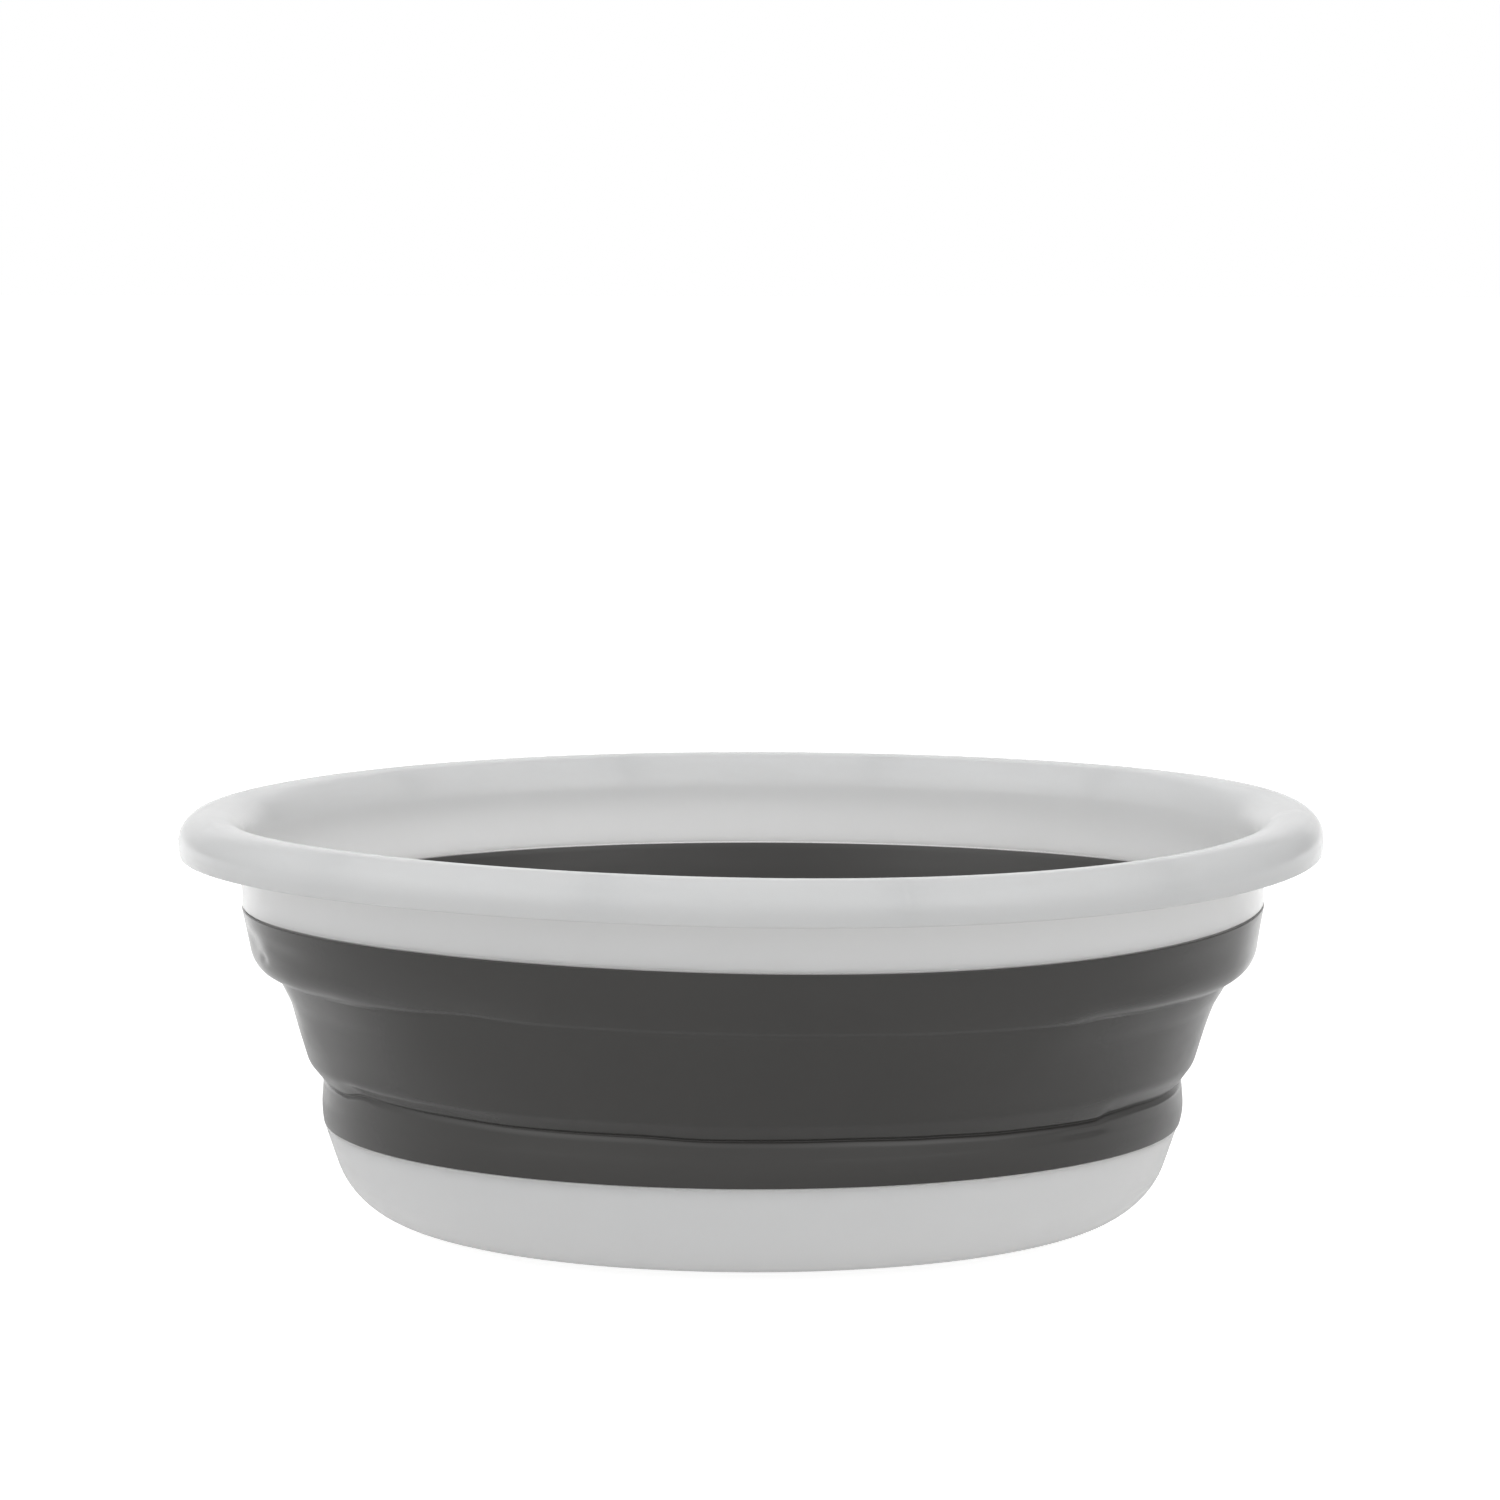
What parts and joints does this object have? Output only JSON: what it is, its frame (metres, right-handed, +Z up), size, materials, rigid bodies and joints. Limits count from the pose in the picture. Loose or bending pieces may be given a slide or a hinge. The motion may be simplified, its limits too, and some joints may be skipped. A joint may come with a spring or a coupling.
{
  "type": "collapsible wash basin",
  "caption": "Round wash basin with a rolled rim, a stiff pan and a soft stepped wall that folds inside out, so the rim drops down round the pan.",
  "frame": {"origin": "on the surface the basin stands on, under the centre of its foot ring", "axes": "+Z up along the basin's axis; the basin is round, so X and Y are only chosen so that the picture looks along +Y"},
  "size_m": [0.3698, 0.3698, 0.1349],
  "materials": {
    "stiff_white": "satin",
    "soft_grey": "satin"
  },
  "bodies": {
    "base": {"base_pan": "stiff_white", "lower_band": "soft_grey", "lower_fold": "soft_grey"},
    "rim": {"rim_ring": "stiff_white", "upper_band": "soft_grey", "upper_fold": "soft_grey"},
    "tier": {"middle_tier": "soft_grey"}
  },
  "joints": [
    {"name": "rim_fold", "type": "slide", "parent": "base", "child": "rim", "axis": [0, 0, 1], "range_m": [-0.0682, 0], "deforming": ["upper_fold"]},
    {"name": "tier_fold", "type": "slide", "parent": "base", "child": "tier", "axis": [0, 0, 1], "range_m": [-0.0341, 0], "deforming": ["lower_fold"]}
  ],
  "couplings": [
    {"joint": "tier_fold", "follows": "rim_fold", "ratio": 0.5}
  ]
}
